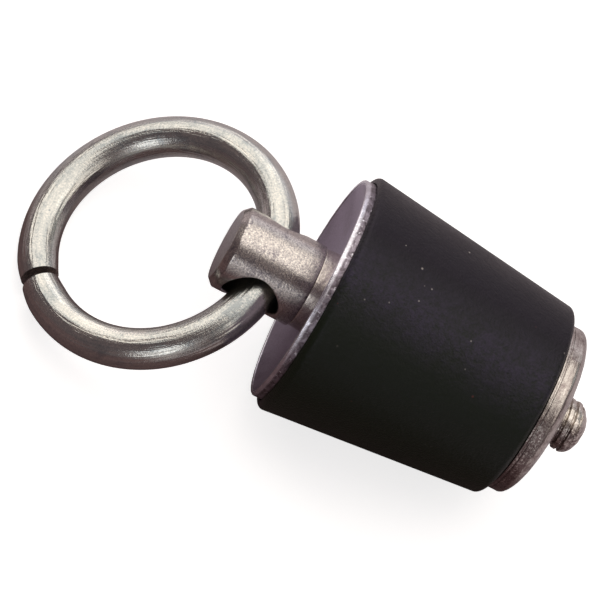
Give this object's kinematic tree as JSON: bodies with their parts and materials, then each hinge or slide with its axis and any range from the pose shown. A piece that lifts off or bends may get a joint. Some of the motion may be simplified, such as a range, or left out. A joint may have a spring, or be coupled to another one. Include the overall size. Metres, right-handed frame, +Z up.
{
  "type": "expanding drain plug",
  "caption": "Expanding rubber drain plug: a tapered bung between a dished washer and a domed plate, tightened by an eye bolt with a pull ring.",
  "frame": {"origin": "centre of the bounding box over the surface the plug lies on", "axes": "+Z up from that surface; +X along the plug over the surface, from the domed plate to the pull ring; +Y along the drilled eye"},
  "size_m": [0.1156, 0.056, 0.0495],
  "materials": {
    "pull_ring": "bright zinc-plated round wire, softly worn",
    "eye_bolt": "zinc-plated turned steel, fine sandy grain",
    "thrust_collar": "zinc-plated turned steel",
    "cup_washer": "dull grey pressed steel with a bright sheared rim",
    "rubber_bung": "satin near-black moulded rubber",
    "end_plate": "zinc-plated domed steel, streaked rim"
  },
  "bodies": {
    "sleeve": {"rubber_bung": "rubber_bung", "cup_washer": "cup_washer", "thrust_collar": "thrust_collar"},
    "bolt": {"eye_bolt": "eye_bolt"},
    "plate": {"end_plate": "end_plate"},
    "ring": {"pull_ring": "pull_ring"}
  },
  "joints": [
    {"name": "bolt_turn", "type": "hinge", "parent": "sleeve", "child": "bolt", "pos_m": [0.01204, 0, 0.02611], "axis": [0.9941, 0, 0.1088], "range_deg": [0, 1800]},
    {"name": "plate_climb", "type": "slide", "parent": "sleeve", "child": "plate", "axis": [0.9941, 0, 0.1088], "range_m": [0, 0.0075], "deforming": ["rubber_bung"]},
    {"name": "ring_swing", "type": "hinge", "parent": "bolt", "child": "ring", "pos_m": [0.01204, 0, 0.02611], "axis": [0, 1, 0], "range_deg": [-150, 77]}
  ],
  "couplings": [
    {"joint": "plate_climb", "follows": "bolt_turn", "m_per_rad": 0.00023873}
  ]
}
